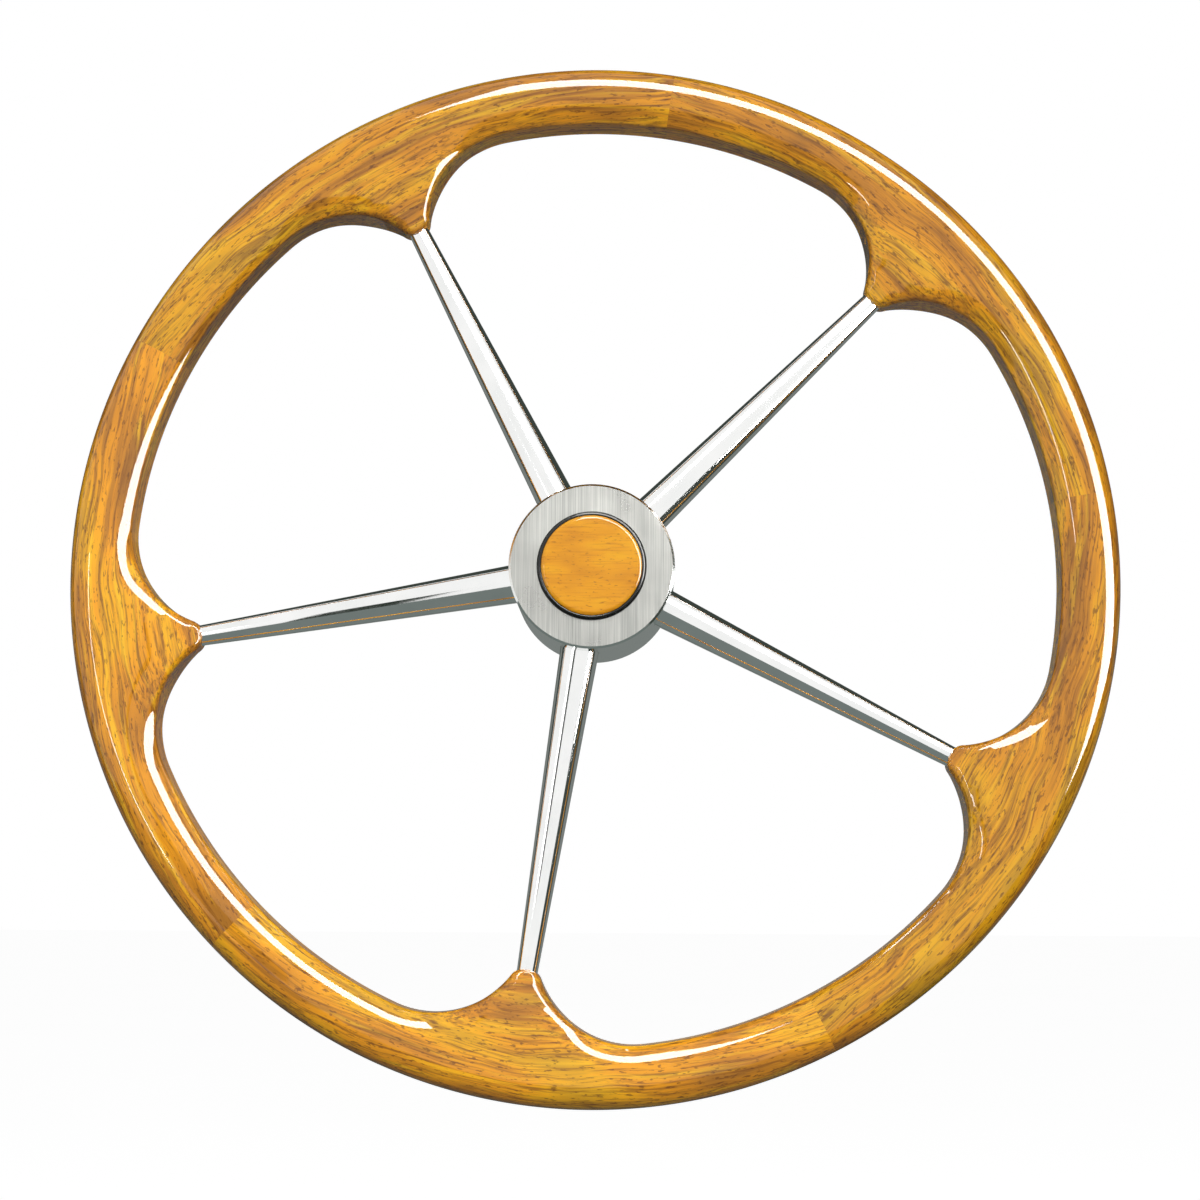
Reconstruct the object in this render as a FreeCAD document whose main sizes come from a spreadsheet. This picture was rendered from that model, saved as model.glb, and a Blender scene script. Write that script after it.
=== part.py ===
import FreeCAD, Part
import math
import os
import Sketcher

# Boat steering wheel: a rim of glued wooden segments, one for each spoke, on tapered steel spokes
# that screw into a turned hub. Y is the shaft axis, with the driver on the -Y side, and Z is up.
# The origin is on the shaft axis, in the middle plane of the rim.

Vector = FreeCAD.Vector
Placement = FreeCAD.Placement
Rotation = FreeCAD.Rotation

# Each row is a size's name, its value in millimetres, degrees or a count, and what it measures.
SIZES = [
    ("wheel_diameter", 400, "over the rim"),
    ("grip_width", 22.6, "rim between two cusps, from its inner to its outer edge"),
    ("rim_depth", 24, "rim from front to back"),
    ("edge_round", 9.5, "rounding of the rim's edges where the hand goes"),
    ("window_corner_radius", 36.5, "hollow side of a cusp, seen from the front"),
    ("cusp_reach", 26.4, "flat end of a cusp, in from the rim's inner edge"),
    ("cusp_tip_width", 8.6, "flat end of a cusp"),
    ("cusp_tip_depth", 11, "cusp's end from front to back, before its edges are rounded"),
    ("cusp_corner_round", 5, "rounding of the two upright corners at a cusp's end"),
    ("cusp_edge_round", 4, "rounding of the other edges at a cusp's end"),
    ("spoke_count", 5, "spokes, and segments of the rim"),
    ("first_spoke_angle", 45, "first spoke, up from +X"),
    ("spoke_dish", 10, "how far the spokes' axes lean forward, measured at the shaft axis"),
    ("spoke_root_diameter", 14.7, "spoke at the hub"),
    ("spoke_tip_diameter", 7.8, "spoke at the cusp"),
    ("spoke_root_seat", 1.5, "how deep the spoke's shoulder sits in the hub"),
    ("spoke_tip_seat", 2, "how deep the spoke's outer shoulder sits in the cusp"),
    ("stud_diameter", 8, "stud that screws into the hub"),
    ("stud_length", 9, "stud from its shoulder"),
    ("tenon_diameter", 6, "tenon that is glued into the cusp"),
    ("tenon_length", 26, "tenon from its shoulder"),
    ("turned_chamfer", 0.8, "chamfer on the ends of studs and tenons"),
    ("hub_diameter", 62, "drum"),
    ("hub_length", 50, "drum from front to back"),
    ("hub_front", 23.8, "rim's middle plane to the hub's front face"),
    ("hub_chamfer", 0.8, "outer edges of the drum"),
    ("cap_bore_diameter", 40, "mouth that takes the centre cap"),
    ("cap_bore_depth", 8.5, "mouth, from the front face to its shoulder"),
    ("cap_bore_chamfer", 0.5, "edge of the mouth"),
    ("nut_recess_diameter", 34, "room for the shaft nut and its socket spanner"),
    ("nut_recess_depth", 18, "from the front face to the nut's seat"),
    ("taper_mouth_diameter", 19.05, "shaft taper at the hub's rear face, three quarters of an inch"),
    ("taper_rate", 12, "length in which the taper's diameter grows by one"),
    ("keyway_width", 4.76, "keyway, three sixteenths of an inch"),
    ("keyway_depth", 2.4, "keyway beyond the taper's mouth"),
    ("disc_diameter", 37.2, "wooden disc of the centre cap"),
    ("disc_thickness", 3, "wooden disc"),
    ("disc_proud", 2.4, "wooden disc in front of the hub's face"),
    ("disc_edge_round", 0.7, "front edge of the wooden disc"),
    ("cap_fit", 0.15, "between the cup's side and the hub, all round"),
    ("cup_lip_proud", 1.5, "cup's lip in front of the hub's face"),
    ("cup_web", 2, "cup's floor behind the disc"),
    ("cup_hollow_diameter", 32, "hollow behind the cup's floor"),
    ("seal_section", 1.7, "rubber ring's cord"),
    ("seal_groove_width", 2.2, "groove in the cup's side"),
    ("seal_setback", 4.2, "hub's front face to the middle of the groove"),
    ("tongue_thickness", 7, "loose tongue, across the rim"),
    ("tongue_width", 12, "loose tongue, from front to back"),
    ("tongue_length", 28, "loose tongue, along the rim"),
    ("tongue_chamfer", 1, "edges of the tongue's two ends"),
    ("glue_gap", 0.1, "between a glued or screwed piece and its hole, all round"),
    ("end_gap", 0.5, "between a stud, tenon or tongue and the bottom of its hole"),
]


class Size:
    """A number together with the sheet expression that gives it."""

    def __init__(self, number, text):
        self.number = number
        self.text = text

    def combine(self, other, sign, number):
        return Size(number, "(%s %s %s)" % (self.text, sign, other.text))

    def __add__(self, other):
        other = as_size(other)
        return self.combine(other, "+", self.number + other.number)

    def __sub__(self, other):
        other = as_size(other)
        return self.combine(other, "-", self.number - other.number)

    def __mul__(self, other):
        other = as_size(other)
        return self.combine(other, "*", self.number * other.number)

    def __truediv__(self, other):
        other = as_size(other)
        return self.combine(other, "/", self.number / other.number)

    def __neg__(self):
        return Size(-self.number, "(0 - %s)" % self.text)


def as_size(value):
    if isinstance(value, Size):
        return value
    return Size(float(value), "%.6f" % value)


def square_root(size):
    return Size(math.sqrt(size.number), "sqrt(%s)" % size.text)


def make_sheet(doc):
    """The sheet holds every driving size, and its name in the sheet is used everywhere else."""
    sheet = doc.addObject("Spreadsheet::Sheet", "sizes")
    for row, (name, value, meaning) in enumerate(SIZES, start=1):
        sheet.set("A%d" % row, name)
        sheet.set("B%d" % row, str(value))
        sheet.set("C%d" % row, meaning)
        sheet.setAlias("B%d" % row, name)
    doc.recompute()
    return {name: Size(float(sheet.get(name)), "sizes." + name) for name, value, meaning in SIZES}


doc = FreeCAD.newDocument("boat_steering_wheel")
size = make_sheet(doc)

wheel_radius = size["wheel_diameter"] / 2
window_radius = wheel_radius - size["grip_width"]
tip_radius = window_radius - size["cusp_reach"]
segment_half_angle = Size(180.0, "180") / size["spoke_count"]

# A cusp's hollow side is an arc. Its centre, seen from the front, is along the spoke and beside it.
tip_half_width = size["cusp_tip_width"] / 2
flank_centre_distance = window_radius - size["window_corner_radius"]
tip_reach = square_root(tip_radius * tip_radius + tip_half_width * tip_half_width)
flank_cosine = (
    flank_centre_distance * flank_centre_distance
    + tip_reach * tip_reach
    - size["window_corner_radius"] * size["window_corner_radius"]
) / (flank_centre_distance * tip_reach * 2)
flank_sine = square_root(-(flank_cosine * flank_cosine) + 1)
flank_scale = flank_centre_distance / tip_reach
flank_along = (flank_cosine * tip_radius - flank_sine * tip_half_width) * flank_scale
flank_beside = (flank_cosine * tip_half_width + flank_sine * tip_radius) * flank_scale

# A cusp is thinned at the front and the back by an arc that starts just short of the rim.
thinning_length = (flank_along + size["window_corner_radius"] - tip_radius) * 0.9
thinning_start = tip_radius + thinning_length
thinning_depth = (size["rim_depth"] - size["cusp_tip_depth"]) / 2
thinning_radius = (
    thinning_length * thinning_length + thinning_depth * thinning_depth
) / (thinning_depth * 2)

hub_radius = size["hub_diameter"] / 2
front_face = -size["hub_front"]
rear_face = size["hub_length"] - size["hub_front"]
cap_shoulder = front_face + size["cap_bore_depth"]
nut_seat = front_face + size["nut_recess_depth"]
cup_radius = size["cap_bore_diameter"] / 2 - size["cap_fit"]
disc_back = front_face - size["disc_proud"] + size["disc_thickness"]

# Places along a spoke's axis, which starts on the shaft axis and leans back towards the rim.
spoke_lean = math.degrees(math.atan2(size["spoke_dish"].number, tip_radius.number))
cusp_distance = square_root(
    tip_radius * tip_radius + size["spoke_dish"] * size["spoke_dish"]
)
stretch = cusp_distance / tip_radius
root_shoulder = hub_radius * stretch - size["spoke_root_seat"]
tip_shoulder = cusp_distance + size["spoke_tip_seat"]


def turned_about_shaft(angle):
    """Placement that swings +X up towards +Z by the angle, about the shaft axis."""
    return Placement(Vector(0, 0, 0), Rotation(Vector(0, -1, 0), angle))


def spoke_frame(angle):
    """Placement whose X axis is the axis of the spoke at this angle."""
    lean = Placement(Vector(0, -size["spoke_dish"].number, 0), Rotation(Vector(0, 0, 1), spoke_lean))
    return turned_about_shaft(angle).multiply(lean)


def spoke_angle(index):
    return size["first_spoke_angle"].number + 2 * segment_half_angle.number * index


def add_body(name):
    body = doc.addObject("PartDesign::Body", name)
    body.Label = name
    return body


def add_sketch(body, name, plane_role):
    sketch = body.newObject("Sketcher::SketchObject", name)
    plane = [feature for feature in body.Origin.OriginFeatures if feature.Role == plane_role][0]
    sketch.AttachmentSupport = [(plane, "")]
    sketch.MapMode = "FlatFace"
    return sketch


def add_dimension(sketch, name, amount, kind, *places):
    """A dimension of the sketch, tied to the sheet."""
    index = sketch.addConstraint(Sketcher.Constraint(kind, *places, amount.number))
    sketch.renameConstraint(index, name)
    sketch.setExpression("Constraints." + name, amount.text)


def draw_polygon(sketch, corners):
    """Closed outline through corners (x, y). A corner whose y is None lies on the X axis."""
    points = [Vector(x.number, y.number if y else 0, 0) for x, y in corners]
    for index, start in enumerate(points):
        sketch.addGeometry(Part.LineSegment(start, points[(index + 1) % len(points)]), False)
    for index, (x, y) in enumerate(corners):
        following = (index + 1) % len(points)
        sketch.addConstraint(Sketcher.Constraint("Coincident", index, 2, following, 1))
        add_dimension(sketch, "corner_%d_x" % index, x, "DistanceX", -1, 1, index, 1)
        if y:
            add_dimension(sketch, "corner_%d_y" % index, y, "DistanceY", -1, 1, index, 1)
        else:
            sketch.addConstraint(Sketcher.Constraint("PointOnObject", index, 1, -1))


def revolve(body, sketch, name, axis):
    turned = body.newObject("PartDesign::Revolution", name)
    turned.Profile = sketch
    turned.ReferenceAxis = (sketch, [axis])
    turned.Angle = 360
    return turned


def add_rod(name, frame, diameter, start, length):
    """Round cutting tool along the frame's X axis."""
    rod = doc.addObject("Part::Cylinder", name)
    rod.setExpression("Radius", (diameter / 2).text)
    rod.setExpression("Height", length.text)
    along_x = Placement(Vector(start.number, 0, 0), Rotation(Vector(0, 1, 0), 90))
    rod.Placement = frame.multiply(along_x)
    return rod


def add_block(name, frame, length, depth, width):
    """Block along the frame's X, Y and Z axes, with the frame's origin at its middle."""
    block = doc.addObject("Part::Box", name)
    block.setExpression("Length", length.text)
    block.setExpression("Width", depth.text)
    block.setExpression("Height", width.text)
    middle = Vector(-length.number / 2, -depth.number / 2, -width.number / 2)
    block.Placement = frame.multiply(Placement(middle, Rotation()))
    return block


def cut_out(name, base, tools):
    fused = doc.addObject("Part::MultiFuse", name + "_tools")
    fused.Shapes = tools
    cut = doc.addObject("Part::Cut", name)
    cut.Base = base
    cut.Tool = fused
    cut.Label = name
    return cut


def distance_from_shaft(point):
    return math.hypot(point.x, point.z)


def joint_frame(angle):
    """Frame at the middle of the glue joint at this angle: X across the rim, Z along it."""
    middle = Vector((wheel_radius.number + window_radius.number) / 2, 0, 0)
    return turned_about_shaft(angle).multiply(Placement(middle, Rotation()))


def draw_segment_outline(sketch):
    """Front view of a segment, its spoke along +X: outer arc, two glue faces, and the cusp."""
    half = math.radians(segment_half_angle.number)
    outer, inner = wheel_radius.number, window_radius.number
    corner = size["window_corner_radius"].number
    tip = Vector(tip_radius.number, tip_half_width.number, 0)
    centre = Vector(flank_along.number, flank_beside.number, 0)
    tangent_angle = math.atan2(centre.y, centre.x)
    tip_angle = math.atan2(tip.y - centre.y, tip.x - centre.x)
    up = Vector(0, 0, 1)

    def arc(middle, radius, start, end):
        return Part.ArcOfCircle(Part.Circle(middle, up, radius), start, end)

    def spoke_side(angle, radius):
        return Vector(math.cos(angle) * radius, math.sin(angle) * radius, 0)

    origin = Vector(0, 0, 0)
    low_centre = Vector(centre.x, -centre.y, 0)
    low_tip = Vector(tip.x, -tip.y, 0)
    rim, high_end, high_grip, high_flank, end_flat, low_flank, low_grip, low_end = range(8)
    sketch.addGeometry([
        arc(origin, outer, -half, half),
        Part.LineSegment(spoke_side(half, inner), spoke_side(half, outer)),
        arc(origin, inner, tangent_angle, half),
        arc(centre, corner, tip_angle, tangent_angle),
        Part.LineSegment(low_tip, tip),
        arc(low_centre, corner, -tangent_angle, -tip_angle),
        arc(origin, inner, -half, -tangent_angle),
        Part.LineSegment(spoke_side(-half, inner), spoke_side(-half, outer)),
    ], False)
    for circle in (rim, high_grip, low_grip):
        sketch.addConstraint(Sketcher.Constraint("Coincident", circle, 3, -1, 1))
    for first, first_point, second, second_point in (
        (rim, 2, high_end, 2),
        (high_end, 1, high_grip, 2),
        (high_flank, 1, end_flat, 2),
        (end_flat, 1, low_flank, 2),
        (low_grip, 1, low_end, 1),
        (low_end, 2, rim, 1),
    ):
        sketch.addConstraint(
            Sketcher.Constraint("Coincident", first, first_point, second, second_point)
        )
    sketch.addConstraint(Sketcher.Constraint("Tangent", high_grip, 1, high_flank, 2))
    sketch.addConstraint(Sketcher.Constraint("Tangent", low_grip, 2, low_flank, 1))
    sketch.addConstraint(Sketcher.Constraint("Equal", high_grip, low_grip))
    sketch.addConstraint(Sketcher.Constraint("Equal", high_flank, low_flank))
    sketch.addConstraint(Sketcher.Constraint("PointOnObject", -1, 1, high_end))
    sketch.addConstraint(Sketcher.Constraint("PointOnObject", -1, 1, low_end))
    sketch.addConstraint(Sketcher.Constraint("Symmetric", end_flat, 1, end_flat, 2, -1))
    add_dimension(sketch, "outer_radius", wheel_radius, "Radius", rim)
    add_dimension(sketch, "window_radius", window_radius, "Radius", high_grip)
    add_dimension(sketch, "corner_radius", size["window_corner_radius"], "Radius", high_flank)
    add_dimension(sketch, "tip_radius", tip_radius, "DistanceX", -1, 1, end_flat, 1)
    add_dimension(sketch, "tip_width", size["cusp_tip_width"], "DistanceY", end_flat, 1, end_flat, 2)
    for name, line, sign in (("high_angle", high_end, 1), ("low_angle", low_end, -1)):
        index = sketch.addConstraint(Sketcher.Constraint("Angle", line, sign * half))
        sketch.renameConstraint(index, name)
        sketch.setExpression("Constraints." + name, "%d deg * %s" % (sign, segment_half_angle.text))


def draw_cusp_thinning(sketch):
    """Side view of the wood that is taken off a cusp: X along the spoke, the front at -Y."""
    inside = tip_radius - size["cusp_corner_round"]
    beyond = size["rim_depth"]
    overrun = thinning_start - inside
    overrun_depth = thinning_radius - square_root(thinning_radius * thinning_radius - overrun * overrun)
    face = size["rim_depth"] / 2
    for side, sign, deep_end, face_end in (("front", -1, 1, 2), ("back", 1, 2, 1)):
        base = sketch.GeometryCount
        centre = Vector(thinning_start.number, sign * (face - thinning_radius).number, 0)
        deep = Vector(inside.number, sign * (face - overrun_depth).number, 0)
        far = Vector(inside.number, sign * beyond.number, 0)
        far_start = Vector(thinning_start.number, sign * beyond.number, 0)
        start = Vector(thinning_start.number, sign * face.number, 0)
        deep_angle = math.atan2(deep.y - centre.y, deep.x - centre.x)
        face_angle = math.atan2(start.y - centre.y, start.x - centre.x)
        circle = Part.Circle(centre, Vector(0, 0, 1), thinning_radius.number)
        turn = (deep_angle, face_angle) if sign < 0 else (face_angle, deep_angle)
        curve = Part.ArcOfCircle(circle, turn[0], turn[1])
        sketch.addGeometry([
            curve,
            Part.LineSegment(start, far_start),
            Part.LineSegment(far_start, far),
            Part.LineSegment(far, deep),
        ], False)
        arc, outward, along, inward = range(base, base + 4)
        for constraint in (
            Sketcher.Constraint("Coincident", outward, 2, along, 1),
            Sketcher.Constraint("Coincident", along, 2, inward, 1),
            Sketcher.Constraint("Coincident", inward, 2, arc, deep_end),
            Sketcher.Constraint("Perpendicular", arc, face_end, outward, 1),
            Sketcher.Constraint("Vertical", outward),
            Sketcher.Constraint("Horizontal", along),
            Sketcher.Constraint("Vertical", inward),
        ):
            sketch.addConstraint(constraint)
        add_dimension(sketch, side + "_start", thinning_start, "DistanceX", -1, 1, outward, 1)
        add_dimension(sketch, side + "_radius", thinning_radius, "Radius", arc)
        add_dimension(sketch, side + "_inside", inside, "DistanceX", -1, 1, inward, 1)
        if sign < 0:
            add_dimension(sketch, side + "_face", face, "DistanceY", outward, 1, -1, 1)
            add_dimension(sketch, side + "_beyond", beyond, "DistanceY", along, 1, -1, 1)
        else:
            add_dimension(sketch, side + "_face", face, "DistanceY", -1, 1, outward, 1)
            add_dimension(sketch, side + "_beyond", beyond, "DistanceY", -1, 1, along, 1)


def cusp_corner_edges(shape):
    """Names of the two upright edges at the cusp's end."""
    names = []
    for number, edge in enumerate(shape.Edges, start=1):
        ends = [vertex.Point for vertex in edge.Vertexes]
        near_tip = all(distance_from_shaft(p) < window_radius.number - 1 for p in ends)
        from_front_to_back = abs(ends[0].y - ends[-1].y) > size["rim_depth"].number / 2
        if near_tip and from_front_to_back:
            names.append("Edge%d" % number)
    return names


def rounded_edges(shape):
    """Rows (edge, first radius, last radius) for the front and back edges of a segment.

    The round is full where the hand goes and shrinks along a cusp's hollow sides to its end.
    """
    thinnest = min(size["rim_depth"].number, size["grip_width"].number)
    grip = min(size["edge_round"].number, 0.45 * thinnest)
    small = min(
        size["cusp_edge_round"].number,
        0.8 * size["cusp_corner_round"].number,
        0.45 * size["cusp_tip_depth"].number,
        grip,
    )
    window = window_radius.number
    tip = tip_radius.number + size["cusp_corner_round"].number

    def rounding_at(point):
        share = (distance_from_shaft(point) - tip) / (window - tip)
        return small + (grip - small) * min(max(share, 0), 1)

    rows = []
    for number, edge in enumerate(shape.Edges, start=1):
        first = edge.valueAt(edge.FirstParameter)
        last = edge.valueAt(edge.LastParameter)
        joins_front_and_back = first.y * last.y < 0
        at_grip = [distance_from_shaft(point) > window - 1e-3 for point in (first, last)]
        across_rim = abs(distance_from_shaft(first) - distance_from_shaft(last)) > 1e-3
        across_cusp = abs(first.x - last.x) < 1e-6 and first.x > tip and not any(at_grip)
        if joins_front_and_back or across_cusp or all(at_grip) and across_rim:
            continue
        rows.append((number, rounding_at(first), rounding_at(last)))
    return rows


def make_rim_segment(number, angle):
    """One board of the rim, with its cusp, the spoke's stepped hole and a mortise at each end."""
    name = "rim_segment_%d" % number
    blank = add_body(name + "_blank")
    sketch = add_sketch(blank, name + "_outline", "XZ_Plane")
    draw_segment_outline(sketch)
    pad = blank.newObject("PartDesign::Pad", name + "_board")
    pad.Profile = sketch
    pad.SideType = "Symmetric"
    pad.setExpression("Length", size["rim_depth"].text)
    doc.recompute()
    corners = blank.newObject("PartDesign::Fillet", name + "_corners")
    corners.Base = (pad, cusp_corner_edges(pad.Shape))
    corners.setExpression("Radius", size["cusp_corner_round"].text)
    side_view = add_sketch(blank, name + "_side", "XY_Plane")
    draw_cusp_thinning(side_view)
    thinning = blank.newObject("PartDesign::Pocket", name + "_thinning")
    thinning.Profile = side_view
    thinning.SideType = "Symmetric"
    thinning.setExpression("Length", (flank_beside * 2).text)
    doc.recompute()
    rounded = doc.addObject("Part::Fillet", name + "_rounded")
    rounded.Base = blank
    rounded.Edges = rounded_edges(blank.Shape)

    spoke = spoke_frame(0)
    lead = size["spoke_tip_diameter"]
    tools = [
        add_rod(name + "_seat", spoke, size["spoke_tip_diameter"] + size["glue_gap"] * 2,
                cusp_distance - lead, lead + size["spoke_tip_seat"]),
        add_rod(name + "_hole", spoke, size["tenon_diameter"] + size["glue_gap"] * 2,
                cusp_distance, size["spoke_tip_seat"] + size["tenon_length"] + size["end_gap"]),
    ]
    for side, turn in (("low", -1), ("high", 1)):
        tools.append(add_block(
            "%s_%s_mortise" % (name, side),
            joint_frame(turn * segment_half_angle.number),
            size["tongue_thickness"] + size["glue_gap"] * 2,
            size["tongue_width"] + size["glue_gap"] * 2,
            size["tongue_length"] + size["end_gap"] * 2,
        ))
    segment = cut_out(name, rounded, tools)
    segment.Placement = turned_about_shaft(angle)
    return segment


def make_joint_tongue(number, angle):
    """Loose wooden tongue across the glue joint at this angle."""
    name = "joint_tongue_%d" % number
    blank = add_block(
        name + "_blank", Placement(),
        size["tongue_thickness"], size["tongue_width"], size["tongue_length"],
    )
    doc.recompute()
    tongue = doc.addObject("Part::Chamfer", name)
    tongue.Base = blank
    chamfer = size["tongue_chamfer"].number
    tongue.Edges = [
        (index, chamfer, chamfer)
        for index, edge in enumerate(blank.Shape.Edges, start=1)
        if abs(edge.Vertexes[0].Z - edge.Vertexes[-1].Z) < 1e-6
    ]
    tongue.Label = name
    tongue.Placement = joint_frame(angle)
    return tongue


def make_spoke(number, angle):
    """Tapered round spoke: stud, shoulder, taper, shoulder and tenon, turned in one."""
    name = "spoke_%d" % number
    body = add_body(name)
    sketch = add_sketch(body, name + "_profile", "XY_Plane")
    stud = size["stud_diameter"] / 2
    tenon = size["tenon_diameter"] / 2
    chamfer = size["turned_chamfer"]
    stud_end = root_shoulder - size["stud_length"]
    tenon_end = tip_shoulder + size["tenon_length"]
    draw_polygon(sketch, [
        (stud_end, None),
        (stud_end, stud - chamfer),
        (stud_end + chamfer, stud),
        (root_shoulder, stud),
        (root_shoulder, size["spoke_root_diameter"] / 2),
        (tip_shoulder, size["spoke_tip_diameter"] / 2),
        (tip_shoulder, tenon),
        (tenon_end - chamfer, tenon),
        (tenon_end, tenon - chamfer),
        (tenon_end, None),
    ])
    revolve(body, sketch, name + "_turned", "H_Axis")
    body.Placement = spoke_frame(angle)
    return body


def make_hub(angles):
    """Turned drum with a shaft taper, keyway, nut recess, cap mouth and a socket for each spoke.

    The keyway is in line with the second spoke, the nearest to the top.
    """
    body = add_body("hub_turned")
    body.Placement = turned_about_shaft(angles[1] - 90)
    profile = add_sketch(body, "hub_profile", "XY_Plane")
    mouth = size["taper_mouth_diameter"] / 2
    taper_length = rear_face - nut_seat
    nut_end = mouth - taper_length / size["taper_rate"] / 2
    cap_bore = size["cap_bore_diameter"] / 2
    nut_recess = size["nut_recess_diameter"] / 2
    chamfer = size["hub_chamfer"]
    draw_polygon(profile, [
        (nut_end, nut_seat),
        (nut_recess, nut_seat),
        (nut_recess, cap_shoulder),
        (cap_bore, cap_shoulder),
        (cap_bore, front_face + size["cap_bore_chamfer"]),
        (cap_bore + size["cap_bore_chamfer"], front_face),
        (hub_radius - chamfer, front_face),
        (hub_radius, front_face + chamfer),
        (hub_radius, rear_face - chamfer),
        (hub_radius - chamfer, rear_face),
        (mouth, rear_face),
    ])
    revolve(body, profile, "hub_drum", "V_Axis")

    keyway_profile = add_sketch(body, "keyway_profile", "XZ_Plane")
    half_width = size["keyway_width"] / 2
    keyway_top = mouth + size["keyway_depth"]
    draw_polygon(keyway_profile, [
        (-half_width, None),
        (half_width, None),
        (half_width, keyway_top),
        (-half_width, keyway_top),
    ])
    keyway = body.newObject("PartDesign::Pocket", "keyway")
    keyway.Profile = keyway_profile
    keyway.Type = "ThroughAll"
    keyway.SideType = "Symmetric"

    tools = []
    for number, angle in enumerate(angles, start=1):
        frame = spoke_frame(angle)
        tools.append(add_rod(
            "spoke_%d_socket" % number, frame,
            size["spoke_root_diameter"] + size["glue_gap"] * 2,
            root_shoulder, size["spoke_root_diameter"],
        ))
        tools.append(add_rod(
            "spoke_%d_thread" % number, frame,
            size["stud_diameter"] + size["glue_gap"] * 2,
            root_shoulder - size["stud_length"] - size["end_gap"],
            size["stud_length"] + size["end_gap"] + size["spoke_root_seat"],
        ))
    return cut_out("hub", body, tools)


def make_cap_cup():
    """Turned cup: a tray for the disc in front, a skirt behind, and the rubber ring's groove."""
    body = add_body("cap_cup")
    sketch = add_sketch(body, "cap_cup_profile", "XY_Plane")
    tray = size["disc_diameter"] / 2 + size["glue_gap"]
    hollow = size["cup_hollow_diameter"] / 2
    lip = front_face - size["cup_lip_proud"]
    web_back = disc_back + size["cup_web"]
    groove_floor = size["cap_bore_diameter"] / 2 - size["seal_section"]
    groove_front = front_face + size["seal_setback"] - size["seal_groove_width"] / 2
    groove_back = groove_front + size["seal_groove_width"]
    axis = as_size(0)
    draw_polygon(sketch, [
        (axis, disc_back),
        (tray, disc_back),
        (tray, lip),
        (cup_radius, lip),
        (cup_radius, groove_front),
        (groove_floor, groove_front),
        (groove_floor, groove_back),
        (cup_radius, groove_back),
        (cup_radius, cap_shoulder),
        (hollow, cap_shoulder),
        (hollow, web_back),
        (axis, web_back),
    ])
    revolve(body, sketch, "cap_cup_turned", "V_Axis")
    return body


def make_cap_disc():
    """Wooden disc with a rounded front edge, glued into the cup's tray."""
    body = add_body("cap_disc")
    sketch = add_sketch(body, "cap_disc_profile", "XY_Plane")
    radius = size["disc_diameter"] / 2
    front = front_face - size["disc_proud"]
    axis = as_size(0)
    draw_polygon(sketch, [(axis, front), (radius, front), (radius, disc_back), (axis, disc_back)])
    turned = revolve(body, sketch, "cap_disc_turned", "V_Axis")
    doc.recompute()
    front_edges = [
        "Edge%d" % number
        for number, edge in enumerate(turned.Shape.Edges, start=1)
        if all(abs(vertex.Y - front.number) < 1e-6 for vertex in edge.Vertexes)
    ]
    rounding = body.newObject("PartDesign::Fillet", "cap_disc_edge")
    rounding.Base = (turned, front_edges)
    rounding.setExpression("Radius", size["disc_edge_round"].text)
    return body


def make_cap_o_ring():
    """Rubber ring in the cup's groove, out to the wall of the hub's mouth."""
    ring = doc.addObject("Part::Torus", "cap_o_ring")
    ring.Label = "cap_o_ring"
    cord = size["seal_section"] / 2
    ring.setExpression("Radius1", (size["cap_bore_diameter"] / 2 - cord).text)
    ring.setExpression("Radius2", cord.text)
    middle = front_face + size["seal_setback"]
    ring.Placement = Placement(Vector(0, middle.number, 0), Rotation(Vector(1, 0, 0), 90))
    return ring


def make_wheel():
    count = int(size["spoke_count"].number)
    angles = [spoke_angle(index) for index in range(count)]
    pieces = [make_hub(angles), make_cap_cup(), make_cap_disc(), make_cap_o_ring()]
    for number, angle in enumerate(angles, start=1):
        pieces.append(make_spoke(number, angle))
        pieces.append(make_rim_segment(number, angle))
        pieces.append(make_joint_tongue(number, angle + segment_half_angle.number))
    return pieces


def check_document(pieces):
    """Stop if any object failed or any piece is not one valid solid."""
    for item in doc.Objects:
        for state in ("Invalid", "Error"):
            if state in item.State:
                raise RuntimeError("%s is in state %s" % (item.Name, item.State))
    for piece in pieces:
        if piece.Shape.isNull() or not piece.Shape.isValid():
            raise RuntimeError("%s has no valid shape" % piece.Label)
        if len(piece.Shape.Solids) != 1:
            raise RuntimeError("%s has %d solids" % (piece.Label, len(piece.Shape.Solids)))


pieces = make_wheel()
doc.recompute()
check_document(pieces)
os.makedirs("parts", exist_ok=True)
for piece in pieces:
    piece.Shape.exportStep("parts/%s.step" % piece.Label)
    print("%-16s %10.1f mm3" % (piece.Label, piece.Shape.Volume))
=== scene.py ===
import math

import bpy
import numpy as np
from mathutils import Matrix, Vector


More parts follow.
